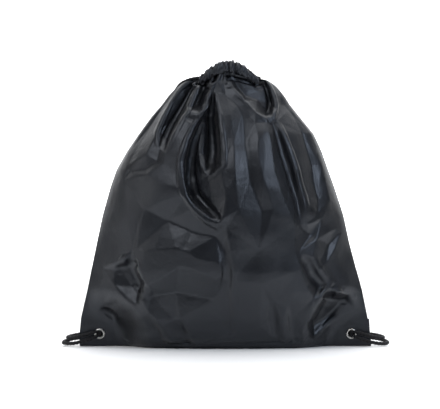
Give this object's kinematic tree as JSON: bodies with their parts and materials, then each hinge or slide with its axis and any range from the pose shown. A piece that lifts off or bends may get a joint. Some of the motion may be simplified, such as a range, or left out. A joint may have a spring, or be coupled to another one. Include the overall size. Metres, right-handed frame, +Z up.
{
  "type": "drawstring backpack",
  "caption": "Drawstring backpack standing filled and cinched shut, with two cord straps that run from the gathered mouth to eyelets in the bottom corners.",
  "frame": {"origin": "on the floor, at the middle of the bag's width and depth, strap cords apart", "axes": "+Z up, the front faces -Y, +X to the right as seen from the front"},
  "size_m": [0.4085, 0.2317, 0.3537],
  "materials": {
    "nylon": "black coated nylon with a soft satin sheen",
    "hem": "the same nylon, folded, gathered and stitched",
    "tape": "matte black seam allowance and reinforcement",
    "cord": "matte black braided polyester",
    "nickel": "nickel plated"
  },
  "bodies": {
    "bag": {"front_panel": "nylon", "rear_panel": "nylon", "bottom_seam": "tape", "left_side_seam": "tape", "right_side_seam": "tape", "left_corner_patch": "tape", "right_corner_patch": "tape", "left_eyelet": "nickel", "right_eyelet": "nickel", "left_eyelet_washer": "nickel", "right_eyelet_washer": "nickel", "left_drawcord_bridge": "cord", "right_drawcord_bridge": "cord", "left_strap_cord_inner": "cord", "left_strap_cord_outer": "cord", "right_strap_cord_inner": "cord", "right_strap_cord_outer": "cord"},
    "front_rim": {"front_drawstring_hem": "hem", "left_drawcord_in_front_hem": "cord", "right_drawcord_in_front_hem": "cord"},
    "rear_rim": {"rear_drawstring_hem": "hem", "left_drawcord_in_rear_hem": "cord", "right_drawcord_in_rear_hem": "cord"},
    "left_cord_end": {"left_cord_knot": "cord"},
    "right_cord_end": {"right_cord_knot": "cord"}
  },
  "joints": [
    {"name": "mouth_opens_forwards", "type": "slide", "parent": "bag", "child": "front_rim", "axis": [0, -1, 0], "range_m": [0, 0.014]},
    {"name": "mouth_opens_backwards", "type": "slide", "parent": "bag", "child": "rear_rim", "axis": [0, 1, 0], "range_m": [0, 0.007]},
    {"name": "left_knot_slack", "type": "slide", "parent": "bag", "child": "left_cord_end", "axis": [0, 1, 0], "range_m": [0, 0.006]},
    {"name": "right_knot_slack", "type": "slide", "parent": "bag", "child": "right_cord_end", "axis": [0, 1, 0], "range_m": [0, 0.006]}
  ],
  "couplings": [
    {"joint": "mouth_opens_backwards", "follows": "mouth_opens_forwards", "ratio": 0.5}
  ]
}
